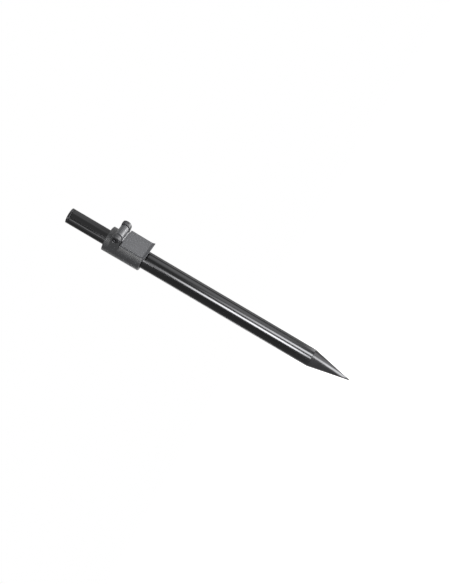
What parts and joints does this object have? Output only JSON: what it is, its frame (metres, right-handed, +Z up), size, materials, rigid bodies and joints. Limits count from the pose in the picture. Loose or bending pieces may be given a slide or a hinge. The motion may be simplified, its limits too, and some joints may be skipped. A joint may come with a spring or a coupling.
{
  "type": "telescopic rod pod leg",
  "caption": "Rod pod leg for soft ground: spiked black tube with a sliding inner tube, held at any length by a cam lever clamp.",
  "frame": {"origin": "the point of the ground spike", "axes": "+Z up the tubes' axis from the spike to the top end, -Y towards the clamp's lever, +X along the lever's pivot bolt"},
  "size_m": [0.031, 0.0419, 0.376],
  "materials": {
    "tube": "gloss black anodised",
    "spike": "gloss black anodised, turned",
    "insert": "black anodised, turned",
    "collar": "satin moulded black nylon",
    "lever": "satin moulded grey-black nylon",
    "liner": "natural acetal",
    "rubber": "matt black",
    "fastener": "blackened",
    "strip": "rolled stainless strip"
  },
  "bodies": {
    "lower_leg": {"spike": "spike", "spike_socket": "insert", "closing_buffer": "rubber", "outer_tube": "tube", "clamp_collar": "collar", "collar_liner": "liner", "collar_screw": "fastener", "lever_bolt": "fastener", "lever_nut": "fastener"},
    "upper_leg": {"inner_tube": "tube", "guide_plug": "collar", "guide_ring": "liner", "plug_pin": "fastener", "top_insert": "insert"},
    "lever": {"cam_lever": "lever", "lever_washer_near": "collar", "lever_washer_far": "collar"},
    "shoe": {"pressure_shoe": "collar", "shoe_pad": "rubber", "shoe_wear_plate": "strip"}
  },
  "joints": [
    {"name": "inner_tube_slide", "type": "slide", "parent": "lower_leg", "child": "upper_leg", "axis": [0, 0, 1], "range_m": [-0.045, 0.1757]},
    {"name": "lever_pivot", "type": "hinge", "parent": "lower_leg", "child": "lever", "pos_m": [0, -0.0201, 0.3118], "axis": [-1, 0, 0], "range_deg": [0, 120]},
    {"name": "shoe_slide", "type": "slide", "parent": "lower_leg", "child": "shoe", "axis": [0, -1, 0], "range_m": [0, 0.001]}
  ],
  "couplings": [
    {"joint": "shoe_slide", "follows": "lever_pivot", "m_per_rad": 0.00047746}
  ]
}
